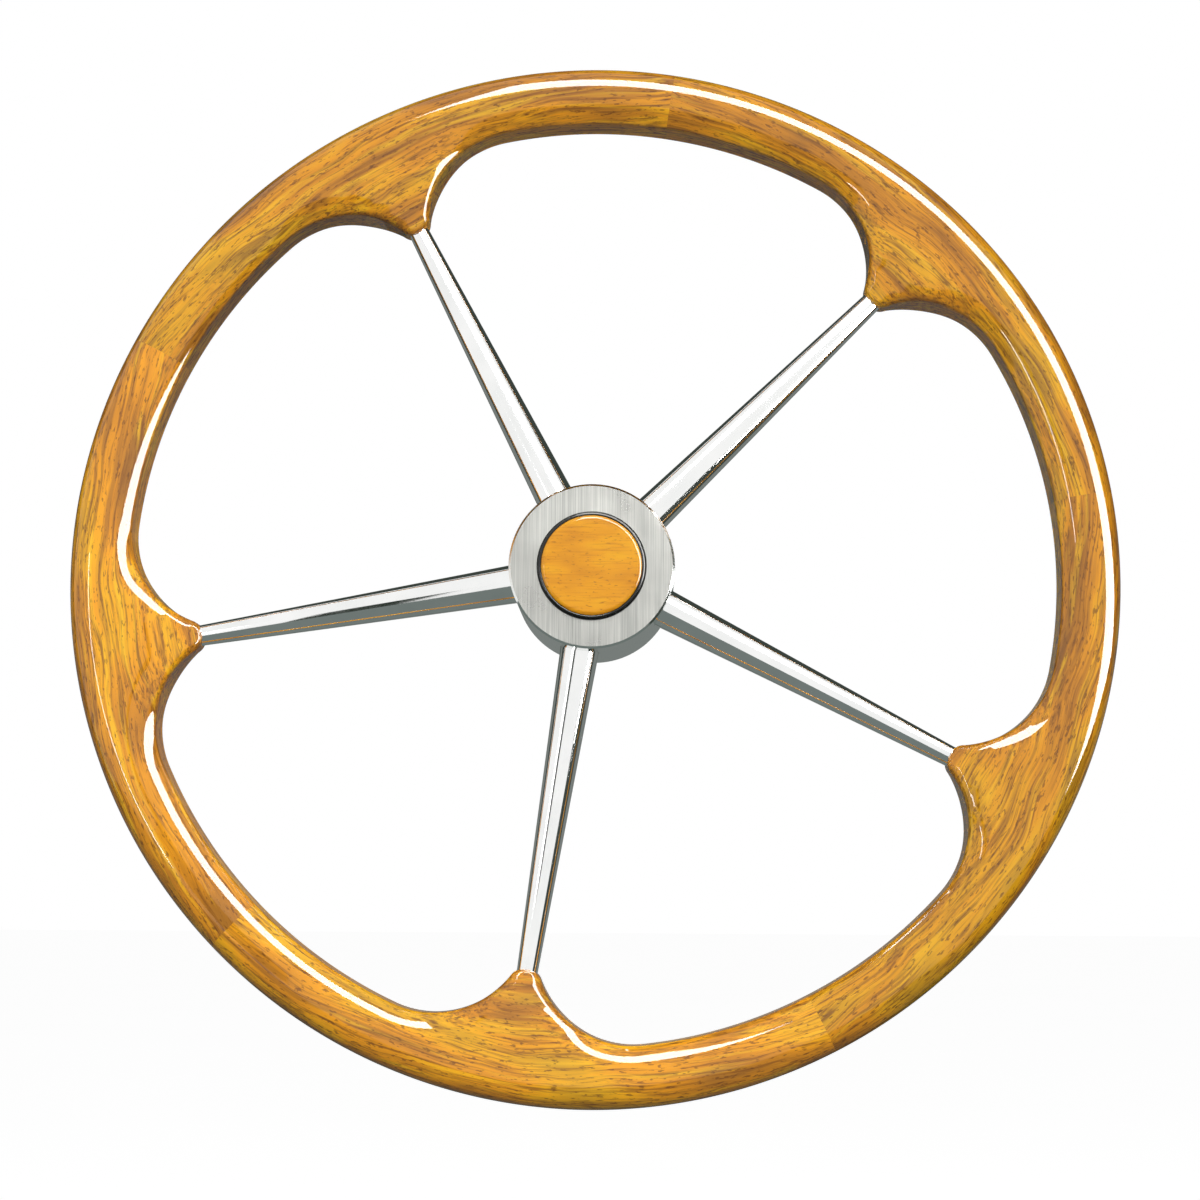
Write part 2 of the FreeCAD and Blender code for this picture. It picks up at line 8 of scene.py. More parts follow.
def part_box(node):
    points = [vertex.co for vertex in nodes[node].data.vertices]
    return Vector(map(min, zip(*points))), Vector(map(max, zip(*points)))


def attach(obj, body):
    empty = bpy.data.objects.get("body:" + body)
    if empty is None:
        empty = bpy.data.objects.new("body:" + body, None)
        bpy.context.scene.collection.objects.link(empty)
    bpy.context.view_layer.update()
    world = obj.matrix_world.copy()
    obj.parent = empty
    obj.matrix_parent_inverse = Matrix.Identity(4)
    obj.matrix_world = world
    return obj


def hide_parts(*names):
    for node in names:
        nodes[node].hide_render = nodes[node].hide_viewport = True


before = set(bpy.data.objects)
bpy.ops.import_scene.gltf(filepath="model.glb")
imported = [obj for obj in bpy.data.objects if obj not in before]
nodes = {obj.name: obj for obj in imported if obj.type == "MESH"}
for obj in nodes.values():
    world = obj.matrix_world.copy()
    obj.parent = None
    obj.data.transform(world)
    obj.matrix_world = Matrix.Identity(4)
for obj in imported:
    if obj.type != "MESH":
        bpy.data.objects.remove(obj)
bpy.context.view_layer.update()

MM = 0.001

# Sizes of the wooden rim in millimetres and degrees, the same as the solids have.
WHEEL_RADIUS = 200.0
WINDOW_RADIUS = 177.4
HALF_DEPTH = 12.0
CORNER_RADIUS = 36.5
TIP_RADIUS = 151.0
TIP_HALF_WIDTH = 4.3
TIP_HALF_DEPTH = 5.5
NOSE_RADIUS = 5.0
GRIP_ROUND = 9.5
SPOKES = 5
FIRST_SPOKE = 45.0
HALF_SEGMENT = 180.0 / SPOKES

# Edge roundings of this scene alone: along the windows, at a cusp's tip and at its flat end.
INNER_ROUND = 2.2
TIP_ROUND = 4.8
END_ROUND = 1.6
# The face also falls in a soft crown towards the windows. These are its slope at their edge, its
# width, the turn along a cusp's flank in which it fades in, and the power that narrows it smoothly
# where the cusp has less room.
CROWN_SLOPE = 1.15
CROWN_WIDTH = 10.0
CROWN_FADE = math.radians(52)
CROWN_BLEND = 4
CROWN_LEAST, CROWN_MOST = 0.1, 400

# Points along each part of a segment's inner outline, and along each half of a section.
FLAT_STEPS, NOSE_STEPS, FLANK_STEPS, WINDOW_STEPS = 4, 16, 84, 64
ROUND_STEPS, FACE_STEPS = 12, 22
# The points on the face crowd towards the window by this power.
FACE_CROWDING = 1.3
# A section's outer end lies straight out from these shares of where its face and its wall are.
FACE_PULL, WALL_PULL = 0.8, 0.2
# Each section's face begins at least this much further from the cusp's middle than the last one's.
SECTION_GAP = 0.001

# How far the grain follows the rim's curve: 0 is straight along each board, 1 is round the rim.
GRAIN_BEND = 0.72
# Distance from the shaft axis at which bent grain has its true length.
GRAIN_RADIUS = 185.0
# The way from one board's place in the wood to the next one's, and the brightness of each plank.
# The brightness is partly each plank's own tone and partly painted light: boards 3 and 4, on the
# left and at the bottom, are made brighter as if lit from the lower left.
PLANK_STEP = (310.0, 70.0, 530.0)
PLANK_TONES_AND_PAINTED_LIGHT = (0.93, 0.95, 1.22, 1.18, 0.95)

# The cup's gap round the disc and the radius of the floor of its groove for the rubber ring.
CUP_GAP = 0.1
CUP_GROOVE = 18.3


def flank_centre():
    """Centre of a cusp's hollow side and its direction from the shaft axis."""
    away = WINDOW_RADIUS - CORNER_RADIUS
    reach = math.hypot(TIP_RADIUS, TIP_HALF_WIDTH)
    cosine = (away ** 2 + reach ** 2 - CORNER_RADIUS ** 2) / (2 * away * reach)
    tangent = math.atan2(TIP_HALF_WIDTH, TIP_RADIUS) + math.acos(cosine)
    return np.array([math.cos(tangent), math.sin(tangent)]) * away, tangent


CORNER, TANGENT = flank_centre()
THINNING_SHARE = 0.9
THINNING_LENGTH = THINNING_SHARE * (CORNER[0] + CORNER_RADIUS - TIP_RADIUS)
THINNING_START = TIP_RADIUS + THINNING_LENGTH
THINNING_DEPTH = HALF_DEPTH - TIP_HALF_DEPTH
# The thinned face bends within this length and then runs straight to the cusp's end.
THINNING_BEND = 6.0
THINNING_SLOPE = THINNING_DEPTH / (THINNING_LENGTH - THINNING_BEND / 2)
# Direction from a cusp's flank at its nose to the centre of the hollow side.
FLANK_BEARING = math.acos((CORNER[0] - TIP_RADIUS - NOSE_RADIUS) / (CORNER_RADIUS + NOSE_RADIUS))


def spoke_angle(number):
    return math.radians(FIRST_SPOKE + 2 * HALF_SEGMENT * (number - 1))


def add_object(name, data):
    obj = bpy.data.objects.new(name, data)
    bpy.context.collection.objects.link(obj)
    return obj


# ---- Wooden rim ----

def thinning_run(place):
    """How far places (along the spoke, across it) are past the start of the cusp's thinning."""
    run = np.clip(THINNING_START - place[..., 0], 0, None)
    return np.where(np.abs(place[..., 1]) < CORNER[1], run, 0)


def crown(place):
    """How far the face has fallen towards the windows at places (along the spoke, across it)."""
    along, across = place[..., 0], np.abs(place[..., 1])
    round_the_rim = np.arctan2(across, along) >= TANGENT
    from_centre = np.stack([along, across], axis=-1) - CORNER
    reach = np.linalg.norm(from_centre, axis=-1)
    past_window = np.hypot(along, across) - WINDOW_RADIUS
    inside = np.where(round_the_rim, past_window, reach - CORNER_RADIUS)
    # The room that the cusp has from its flank to its middle line.
    down = np.clip(-from_centre[..., 1] / reach, 1e-6, 1)
    room = np.clip(CORNER[1] / down - CORNER_RADIUS, CROWN_LEAST, CROWN_MOST)
    narrowed = (room ** -CROWN_BLEND + CROWN_WIDTH ** -CROWN_BLEND) ** (-1 / CROWN_BLEND)
    width = np.where(round_the_rim, CROWN_WIDTH, narrowed)
    bearing = np.arctan2(-from_centre[..., 1], -from_centre[..., 0]) % (2 * math.pi)
    share = np.clip((bearing - FLANK_BEARING) / CROWN_FADE, 0, 1)
    share = np.where(round_the_rim, 1, share * share * (3 - 2 * share))
    return CROWN_SLOPE * share * width / 2 * (1 - np.clip(inside / width, 0, 1)) ** 2


def face_height(place):
    """Distance of the face from the middle plane at places (along the spoke, across it)."""
    run = thinning_run(place)
    bend = np.minimum(run, THINNING_BEND)
    thinned = THINNING_SLOPE * (bend ** 2 / (2 * THINNING_BEND) + run - bend)
    return HALF_DEPTH - thinned - crown(place)


def arc_points(centre, radius, start, end, count, outward):
    """Points and normals along an arc; outward is 1 where normals point away from its centre."""
    angle = np.linspace(start, end, count)
    aim = np.stack([np.cos(angle), np.sin(angle)], axis=1)
    return np.array(centre) + radius * aim, outward * aim


def cusp_half_outline():
    """Inner outline of a segment from the middle of the cusp's end to the glue joint.

    Gives points (along the spoke, across it), normals into the window, and edge roundings.
    """
    nose_along = TIP_RADIUS + NOSE_RADIUS
    drop = math.sqrt((CORNER_RADIUS + NOSE_RADIUS) ** 2 - (nose_along - CORNER[0]) ** 2)
    nose = np.array([nose_along, CORNER[1] - drop])
    touch = math.atan2(CORNER[1] - nose[1], CORNER[0] - nose[0])
    flank_start = touch - math.pi
    # The rounding runs evenly from the tip to where the face starts to thin, and from there on.
    break_angle = -math.acos((THINNING_START - CORNER[0]) / CORNER_RADIUS)
    break_point = CORNER + CORNER_RADIUS * np.array([math.cos(break_angle), math.sin(break_angle)])
    break_share = (np.linalg.norm(break_point) - nose_along) / (WINDOW_RADIUS - nose_along)
    break_round = TIP_ROUND + (INNER_ROUND - TIP_ROUND) * break_share
    across = np.linspace(0, nose[1], FLAT_STEPS + 1)[:-1]
    flat = np.stack([np.full(FLAT_STEPS, TIP_RADIUS), across], axis=1)
    parts = [(flat, np.tile([-1.0, 0.0], (FLAT_STEPS, 1)), np.full(FLAT_STEPS, END_ROUND))]
    points, normals = arc_points(nose, NOSE_RADIUS, math.pi, touch, NOSE_STEPS, 1)
    rounding = np.linspace(END_ROUND, TIP_ROUND, NOSE_STEPS)
    parts.append((points[:-1], normals[:-1], rounding[:-1]))
    points, normals = arc_points(CORNER, CORNER_RADIUS, flank_start, TANGENT, FLANK_STEPS, -1)
    rounding = np.interp(
        np.linspace(flank_start, TANGENT, FLANK_STEPS),
        [flank_start, break_angle, TANGENT], [TIP_ROUND, break_round, INNER_ROUND],
    )
    parts.append((points[:-1], normals[:-1], rounding[:-1]))
    joint = math.radians(HALF_SEGMENT)
    points, normals = arc_points((0, 0), WINDOW_RADIUS, TANGENT, joint, WINDOW_STEPS, -1)
    parts.append((points, normals, np.full(WINDOW_STEPS, INNER_ROUND)))
    return [np.concatenate(column) for column in zip(*parts)]


def rolling_round(point, normal, rounding):
    """Height of the centre of a ball that touches wall and face, and the turn where it leaves."""
    # The ball is tried at many places, from the wall to a little past its own radius.
    tries, furthest = 6001, 1.2 * rounding
    across = np.linspace(0, furthest, tries)
    height = face_height(point - across[:, None] * normal)
    rest = height - np.sqrt(np.clip(rounding ** 2 - (across - rounding) ** 2, 0, None))
    best = int(np.argmin(rest))
    return rest[best], math.acos(np.clip(1 - across[best] / rounding, 0, 1))


def face_normal(place):
    """Normals (along, out of the face, across) of the face at places (along, across)."""
    step = 0.01
    slopes = [
        (face_height(place + np.array(side)) - face_height(place - np.array(side))) / (2 * step)
        for side in ((step, 0), (0, step))
    ]
    normal = np.stack([-slopes[0], np.ones_like(slopes[0]), -slopes[1]], axis=-1)
    return normal / np.linalg.norm(normal, axis=-1, keepdims=True)


def turn_between(start, end, share):
    """Unit directions that turn evenly from start to end."""
    turn = math.acos(np.clip(start @ end, -1, 1))
    share = share[:, None]
    return (np.sin((1 - share) * turn) * start + np.sin(share * turn) * end) / math.sin(turn)


def section(point, normal, rounding, least):
    """Half of one section, from the wall to the rim's outer edge: places, heights and normals.

    The face begins no nearer to the cusp's middle than least.
    """
    centre, leave = rolling_round(point, normal, rounding)
    turn = np.linspace(0, leave, ROUND_STEPS)
    inner = point - normal * (rounding * (1 - np.cos(turn)))[:, None]
    inner[:, 1] += np.linspace(0, max(0.0, least - inner[-1][1]), ROUND_STEPS)
    heights = [centre + rounding * np.sin(turn)]
    wall = np.array([normal[0], 0, normal[1]])
    inner_normals = turn_between(wall, face_normal(inner[-1]), np.linspace(0, 1, ROUND_STEPS))
    face_angle = math.atan2(inner[-1][1], inner[-1][0])
    angle = FACE_PULL * face_angle + WALL_PULL * math.atan2(point[1], point[0])
    outward = np.array([math.cos(angle), math.sin(angle)])
    outer_start = outward * (WHEEL_RADIUS - GRIP_ROUND)
    share = np.linspace(0, 1, FACE_STEPS + 2)[1:-1] ** FACE_CROWDING
    face = inner[-1] + share[:, None] * (outer_start - inner[-1])
    heights.append(face_height(face))
    turn = np.linspace(math.pi / 2, 0, ROUND_STEPS)
    outer = outward * (WHEEL_RADIUS - GRIP_ROUND * (1 - np.cos(turn)))[:, None]
    heights.append(HALF_DEPTH - GRIP_ROUND + GRIP_ROUND * np.sin(turn))
    outer_normals = np.stack([
        outward[0] * np.cos(turn), np.sin(turn), outward[1] * np.cos(turn),
    ], axis=1)
    normals = np.concatenate([inner_normals, face_normal(face), outer_normals])
    return np.concatenate([inner, face, outer]), np.concatenate(heights), normals


def segment_grid():
    """Rows of points (along the spoke, depth, across it) round a segment, with their normals."""
    rows, row_normals = [], []
    least = 0.0
    for point, normal, rounding in zip(*cusp_half_outline()):
        place, height, out = section(point, normal, rounding, least)
        least = place[ROUND_STEPS - 1, 1] + SECTION_GAP
        front = np.column_stack([place[:, 0], -height, place[:, 1]])
        back = np.column_stack([place[:, 0], height, place[:, 1]])
        rows.append(np.concatenate([front[::-1], back]))
        row_normals.append(np.concatenate([(out * [1, -1, 1])[::-1], out]))
    mirror = np.array([1.0, 1.0, -1.0])
    rows, row_normals = np.stack(rows), np.stack(row_normals)
    grid = np.concatenate([rows[:0:-1] * mirror, rows])
    return grid, np.concatenate([row_normals[:0:-1] * mirror, row_normals])


SEGMENT_GRID = segment_grid()


def make_rim_board(number):
    """One fine board of the rim. Its grain attribute says where each vertex was in its plank."""
    grid, normals = SEGMENT_GRID
    rows, sides = grid.shape[:2]
    local = grid.reshape(-1, 3)
    angle = spoke_angle(number)
    turned = np.array([
        [math.cos(angle), 0, -math.sin(angle)],
        [0, 1, 0],
        [math.sin(angle), 0, math.cos(angle)],
    ])
    faces = []
    for row in range(rows - 1):
        for side in range(sides):
            following = (side + 1) % sides
            a, b = row * sides + side, row * sides + following
            faces.append((a, a + sides, b + sides, b))
    faces.append(tuple(range(sides)))
    faces.append(tuple((rows - 1) * sides + side for side in range(sides - 1, -1, -1)))
    name = "rim_board_%d" % number
    mesh = bpy.data.meshes.new(name)
    mesh.from_pydata((local @ turned.T * MM).tolist(), [], faces)
    mesh.shade_smooth()
    grain = mesh.attributes.new("grain", "FLOAT_VECTOR", "POINT")
    reach, turn = np.hypot(local[:, 0], local[:, 2]), np.arctan2(local[:, 2], local[:, 0])
    bent = np.column_stack([reach, local[:, 1], turn * GRAIN_RADIUS])
    plank = bent * GRAIN_BEND + local * (1 - GRAIN_BEND) + np.array(PLANK_STEP) * number
    grain.data.foreach_set("vector", (plank * MM).astype(np.float32).ravel())
    # The tone is partly the plank's own and partly painted light that brightens the left and bottom
    # boards.
    tone = mesh.attributes.new("tone", "FLOAT", "POINT")
    tone.data.foreach_set("value", np.full(len(local), PLANK_TONES_AND_PAINTED_LIGHT[number - 1], np.float32))
    mesh.update()
    vertex_normals = normals.reshape(-1, 3) @ turned.T
    loop_normals = [None] * len(mesh.loops)
    for polygon in mesh.polygons:
        end_face = polygon.index >= len(faces) - 2
        for index in polygon.loop_indices:
            vertex = mesh.loops[index].vertex_index
            loop_normals[index] = tuple(polygon.normal if end_face else vertex_normals[vertex])
    mesh.normals_split_custom_set(loop_normals)
    board = add_object(name, mesh)
    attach(board, "root")
    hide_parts("rim_segment_%d" % number)
    return board


boards = [make_rim_board(number) for number in range(1, SPOKES + 1)]


# ---- Centre cap ----

def make_turned_piece(name, profile, sides=160):
    """A solid of revolution about the shaft axis from (radius, depth) points in millimetres."""
    points, faces = [], []
    for radius, depth in profile:
        for side in range(sides):
            turn = 2 * math.pi * side / sides
            points.append((radius * math.cos(turn) * MM, depth * MM, radius * math.sin(turn) * MM))
    for ring in range(len(profile) - 1):
        for side in range(sides):
            following = (side + 1) % sides
            a, b = ring * sides, (ring + 1) * sides
            faces.append((a + side, a + following, b + following, b + side))
    faces.append(tuple(range(sides - 1, -1, -1)))
    last = (len(profile) - 1) * sides
    faces.append(tuple(last + side for side in range(sides)))
    mesh = bpy.data.meshes.new(name)
    mesh.from_pydata(points, [], faces)
    mesh.shade_smooth()
    sharp = math.radians(40)
    mesh.set_sharp_from_angle(angle=sharp)
    piece = add_object(name, mesh)
    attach(piece, "root")
    return piece


def make_disc():
    """The cap's wooden disc, with a fuller rounded front edge than its solid has."""
    low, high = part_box("cap_disc")
    front, back, radius = low[1] / MM, high[1] / MM, high[0] / MM
    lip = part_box("cap_cup")[0][1] / MM
    # The rounding would reach this far over the disc's side, but ends just in front of the lip.
    rounding, over, steps = 2.1, 0.55, 8
    edge = lip - 0.02
    bevel = 0.2
    profile = [(radius - rounding - inward, front) for inward in (12, 6)]
    lean = math.acos(1 - (edge - front) / rounding)
    for step in range(steps + 1):
        turn = lean * step / steps
        profile.append((
            radius + over - rounding + rounding * math.sin(turn),
            front + rounding - rounding * math.cos(turn),
        ))
    profile += [(radius, edge), (radius, back - bevel), (radius - bevel, back)]
    disc = make_turned_piece("cap_disc_face", profile)
    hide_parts("cap_disc")
    return disc


def make_cup():
    """The cap's black cup, turned in one piece, with a half-round lip that catches the light."""
    low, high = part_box("cap_cup")
    lip, shoulder, radius = low[1] / MM, high[1] / MM, high[0] / MM
    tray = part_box("cap_disc")[1][0] / MM + CUP_GAP
    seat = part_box("cap_disc")[1][1] / MM
    middle = (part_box("cap_o_ring")[0][1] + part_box("cap_o_ring")[1][1]) / 2 / MM
    groove_front, groove_back = middle - 1.1, middle + 1.1
    axis, hollow, floor = 0.01, 16.0, seat + 2.0
    round_off, steps = (radius - tray) / 2, 12
    profile = [(axis, seat), (tray, seat)]
    for step in range(steps + 1):
        turn = math.radians(180 / steps * step)
        profile.append((
            tray + round_off - round_off * math.cos(turn),
            lip + round_off - round_off * math.sin(turn),
        ))
    profile += [
        (radius, groove_front), (CUP_GROOVE, groove_front),
        (CUP_GROOVE, groove_back), (radius, groove_back),
        (radius, shoulder), (hollow, shoulder), (hollow, floor), (axis, floor),
    ]
    cup = make_turned_piece("cap_cup_turned", profile)
    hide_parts("cap_cup")
    return cup


disc = make_disc()
cup = make_cup()


# ---- Materials ----

def new_material(name):
    material = bpy.data.materials.new(name)
    material.use_nodes = True
    return material, material.node_tree, material.node_tree.nodes["Principled BSDF"]


def dress(obj, material):
    obj.data.materials.clear()
    obj.data.materials.append(material)


def link(tree, source, target):
    """Sets a socket to a number or colour, or joins it to another node's socket."""
    if isinstance(source, bpy.types.NodeSocket):
        tree.links.new(source, target)
    else:
        target.default_value = source


def set_inputs(tree, node, **inputs):
    """Sets or joins a node's inputs, by name with _ for a space."""
    for name, value in inputs.items():
        link(tree, value, node.inputs[name.replace("_", " ")])


def add_node(tree, kind, settings=(), **inputs):
    """A shader node with its properties and its inputs."""
    node = tree.nodes.new("ShaderNode" + kind)
    for name, value in dict(settings).items():
        setattr(node, name, value)
    set_inputs(tree, node, **inputs)
    return node


def object_place(tree):
    return add_node(tree, "TexCoord").outputs["Object"]


def stretched(tree, vector, across, depth, along, offset=(0, 0, 0)):
    """Coordinates in which a length of each given number of millimetres is one."""
    scale = (1000 / across, 1000 / depth, 1000 / along)
    return add_node(tree, "Mapping", Vector=vector, Location=offset, Scale=scale).outputs["Vector"]


def scaled(tree, vector, scale):
    """A vector or colour times a number."""
    node = add_node(tree, "VectorMath", [("operation", "SCALE")], Scale=scale)
    link(tree, vector, node.inputs[0])
    return node.outputs[0]


def along_x(tree, value):
    """A vector with the value as its first part, and nothing in the others."""
    return add_node(tree, "CombineXYZ", X=value, Y=0.0, Z=0.0).outputs[0]


def noise(tree, vector, detail=3.0, roughness=0.55):
    return add_node(
        tree, "TexNoise", Vector=vector, Scale=1.0, Detail=detail, Roughness=roughness,
    ).outputs["Fac"]


def span(tree, value, low, high, to_low=0.0, to_high=1.0):
    """Value from low to high brought to the range to_low to to_high, and held at its ends."""
    return add_node(
        tree, "MapRange", Value=value, From_Min=low, From_Max=high, To_Min=to_low, To_Max=to_high,
    ).outputs["Result"]


def maths(tree, operation, first, second=0.0):
    node = add_node(tree, "Math", [("operation", operation)])
    link(tree, first, node.inputs[0])
    link(tree, second, node.inputs[1])
    return node.outputs[0]


def mixed(tree, share, first, second):
    node = add_node(tree, "Mix", [("data_type", "RGBA")])
    link(tree, share, node.inputs[0])
    link(tree, first, node.inputs[6])
    link(tree, second, node.inputs[7])
    return node.outputs[2]


def tinted(tree, colour, pattern, low, high, strength, tint):
    """Colour with a tint laid over it, up to strength, where the pattern rises from low to high."""
    return mixed(tree, span(tree, pattern, low, high, 0.0, strength), colour, (*tint, 1))


def ramp(tree, value, stops):
    """Colour ramp through (place, colour) stops."""
    node = add_node(tree, "ValToRGB", Fac=value)
    elements = node.color_ramp.elements
    while len(elements) < len(stops):
        elements.new(0.5)
    for element, (place, colour) in zip(elements, stops):
        element.position = place
        element.color = (*colour, 1)
    return node.outputs["Color"]


def bump(tree, height, distance, strength):
    """Normal over a height pattern whose full rise is the distance in metres."""
    return add_node(
        tree, "Bump", Strength=strength, Distance=distance, Height=height,
    ).outputs["Normal"]


def varnish(tree, shader, coat_roughness, coat_ior):
    """Clear gloss coat over wood that has no shine of its own."""
    set_inputs(
        tree, shader, Roughness=0.5, Specular_IOR_Level=0.0,
        Coat_Weight=1.0, Coat_Roughness=coat_roughness, Coat_IOR=coat_ior,
    )


def make_rim_wood():
    """Teak under gloss varnish. The grain runs along each board, across its spoke."""
    material, tree, shader = new_material("rim_varnished_wood")
    board = add_node(tree, "Attribute", [("attribute_name", "grain")]).outputs["Vector"]
    # The grain wanders sideways, by this many metres for the noise's whole swing.
    swing = 0.016
    sway = noise(tree, stretched(tree, board, 34, 34, 70), 2.0)
    aside = scaled(tree, along_x(tree, maths(tree, "SUBTRACT", sway, 0.5)), swing)
    sum_node = add_node(tree, "VectorMath", [("operation", "ADD")])
    link(tree, board, sum_node.inputs[0])
    link(tree, aside, sum_node.inputs[1])
    swayed = sum_node.outputs[0]

    patches = noise(tree, stretched(tree, swayed, 15, 15, 62), 2.5, 0.5)
    colour = ramp(tree, span(tree, patches, 0.30, 0.70), [
        (0.00, (0.34, 0.140, 0.022)),
        (0.28, (0.58, 0.225, 0.016)),
        (0.55, (0.76, 0.310, 0.014)),
        (0.78, (0.80, 0.385, 0.012)),
        (1.00, (0.58, 0.300, 0.016)),
    ])
    rings = noise(tree, stretched(tree, swayed, 2.6, 2.6, 150, (5, 3, 1)), 2.0, 0.6)
    colour = tinted(tree, colour, rings, 0.50, 0.66, 0.56, (0.23, 0.092, 0.020))
    light = noise(tree, stretched(tree, swayed, 3.4, 3.4, 90, (2, 9, 4)), 2.0, 0.6)
    colour = tinted(tree, colour, light, 0.54, 0.68, 0.60, (0.92, 0.52, 0.020))
    fine = noise(tree, stretched(tree, swayed, 0.95, 0.95, 26, (1, 1, 7)), 3.0, 0.65)
    colour = tinted(tree, colour, fine, 0.49, 0.66, 0.78, (0.19, 0.070, 0.014))
    flecks = noise(tree, stretched(tree, board, 0.9, 0.9, 3.4, (8, 2, 3)), 2.0, 0.6)
    pores = span(tree, flecks, 0.585, 0.66, 0.0, 0.66)
    colour = mixed(tree, pores, colour, (0.11, 0.040, 0.012, 1))
    # Each board's tone scales its colour: partly the plank's own tone, partly painted light that
    # brightens the left and bottom boards.
    tone = add_node(tree, "Attribute", [("attribute_name", "tone")]).outputs["Fac"]
    normal = bump(tree, maths(tree, "SUBTRACT", fine, pores), 0.00008, 0.5)
    set_inputs(tree, shader, Base_Color=scaled(tree, colour, tone), Normal=normal)
    varnish(tree, shader, 0.035, 1.45)
    return material


def make_disc_wood():
    """The cap's disc: straighter and more orange than the rim, with short dark pores."""
    material, tree, shader = new_material("disc_varnished_wood")
    place = object_place(tree)
    patches = noise(tree, stretched(tree, place, 26, 26, 9), 2.0)
    colour = ramp(tree, span(tree, patches, 0.3, 0.7), [
        (0.0, (0.62, 0.24, 0.010)),
        (0.5, (0.76, 0.32, 0.010)),
        (1.0, (0.82, 0.40, 0.012)),
    ])
    fine = noise(tree, stretched(tree, place, 14, 14, 0.8), 3.0, 0.6)
    colour = tinted(tree, colour, fine, 0.50, 0.68, 0.45, (0.45, 0.13, 0.006))
    flecks = noise(tree, stretched(tree, place, 2.6, 2.6, 0.8, (3, 1, 2)), 2.0, 0.6)
    pores = span(tree, flecks, 0.60, 0.68, 0.0, 0.6)
    colour = mixed(tree, pores, colour, (0.30, 0.08, 0.006, 1))
    normal = bump(tree, maths(tree, "SUBTRACT", fine, pores), 0.00006, 0.4)
    set_inputs(tree, shader, Base_Color=colour, Normal=normal)
    varnish(tree, shader, 0.05, 1.4)
    return material


def make_bare_wood():
    """Unfinished hardwood of the loose tongues inside the rim."""
    material, tree, shader = new_material("bare_hardwood")
    fine = noise(tree, stretched(tree, object_place(tree), 1.5, 20, 1.5), 3.0, 0.6)
    colour = ramp(tree, span(tree, fine, 0.3, 0.7), [
        (0.0, (0.30, 0.14, 0.045)),
        (1.0, (0.52, 0.29, 0.11)),
    ])
    normal = bump(tree, fine, 0.0001, 0.5)
    set_inputs(tree, shader, Base_Color=colour, Roughness=0.75, Normal=normal)
    return material


def make_spoke_steel():
    """Polished stainless rod with faint turning marks round it and a few rub marks."""
    material, tree, shader = new_material("spoke_polished_steel")
    place = object_place(tree)
    reach = add_node(tree, "VectorMath", [("operation", "LENGTH")])
    link(tree, place, reach.inputs[0])
    marks_per_metre = 1500.0
    rings = maths(tree, "MULTIPLY", reach.outputs["Value"], marks_per_metre)
    turned = noise(tree, along_x(tree, rings), 2.0, 0.6)
    rubbed = noise(tree, stretched(tree, place, 18, 18, 18), 4.0, 0.6)
    roughness = span(tree, rubbed, 0.35, 0.75, 0.045, 0.13)
    clean, worn = (0.93, 0.93, 0.92, 1), (0.84, 0.85, 0.84, 1)
    colour = mixed(tree, span(tree, rubbed, 0.3, 0.7), clean, worn)
    normal = bump(tree, turned, 0.000004, 0.3)
    set_inputs(
        tree, shader, Base_Color=colour, Metallic=1.0, Roughness=roughness, Normal=normal,
    )
    return material


def make_hub_steel():
    """Turned stainless hub: its front is brushed upright and satin, its side is polished."""
    material, tree, shader = new_material("hub_stainless_steel")
    place = object_place(tree)
    facing = add_node(tree, "SeparateXYZ", Vector=add_node(tree, "NewGeometry").outputs["Normal"])
    front = span(tree, maths(tree, "ABSOLUTE", facing.outputs["Y"]), 0.90, 0.98)
    brushed = noise(tree, stretched(tree, place, 0.42, 6, 60), 3.0, 0.7)
    broad = noise(tree, stretched(tree, place, 3.0, 8, 90, (4, 0, 2)), 2.0, 0.6)
    tone = maths(
        tree, "ADD", maths(tree, "MULTIPLY", brushed, 0.75), maths(tree, "MULTIPLY", broad, 0.25),
    )
    satin = ramp(tree, span(tree, tone, 0.32, 0.68), [
        (0.0, (0.28, 0.29, 0.27)),
        (0.5, (0.42, 0.42, 0.395)),
        (1.0, (0.57, 0.57, 0.53)),
    ])
    colour = mixed(tree, front, (0.80, 0.82, 0.80, 1), satin)
    smudges = noise(tree, stretched(tree, place, 14, 14, 14), 4.0, 0.6)
    polish = span(tree, smudges, 0.3, 0.7, 0.06, 0.14)
    roughness = maths(tree, "ADD", polish, maths(tree, "MULTIPLY", front, 0.20))
    normal = bump(tree, maths(tree, "MULTIPLY", brushed, front), 0.000012, 0.5)
    set_inputs(
        tree, shader, Base_Color=colour, Metallic=1.0, Roughness=roughness, Normal=normal,
    )
    return material


def make_cap_black():
    """Glossy black moulded plastic with fine rub marks."""
    material, tree, shader = new_material("cap_black_plastic")
    rubbed = noise(tree, stretched(tree, object_place(tree), 6, 6, 6), 5.0, 0.65)
    clean, worn = (0.004, 0.005, 0.004, 1), (0.012, 0.013, 0.012, 1)
    colour = mixed(tree, span(tree, rubbed, 0.4, 0.7), clean, worn)
    roughness = span(tree, rubbed, 0.35, 0.7, 0.08, 0.16)
    normal = bump(tree, rubbed, 0.00002, 0.3)
    set_inputs(
        tree, shader, Base_Color=colour, Roughness=roughness, Specular_IOR_Level=0.5, Normal=normal,
    )
    return material


def make_seal_rubber():
    """Dull black rubber of the ring between the cup and the hub."""
    material, tree, shader = new_material("seal_rubber")
    specks = noise(tree, stretched(tree, object_place(tree), 0.8, 0.8, 0.8), 4.0, 0.7)
    colour = mixed(tree, specks, (0.006, 0.006, 0.006, 1), (0.022, 0.022, 0.022, 1))
    roughness = span(tree, specks, 0.3, 0.7, 0.5, 0.7)
    normal = bump(tree, specks, 0.00003, 0.5)
    set_inputs(tree, shader, Base_Color=colour, Roughness=roughness, Normal=normal)
    return material


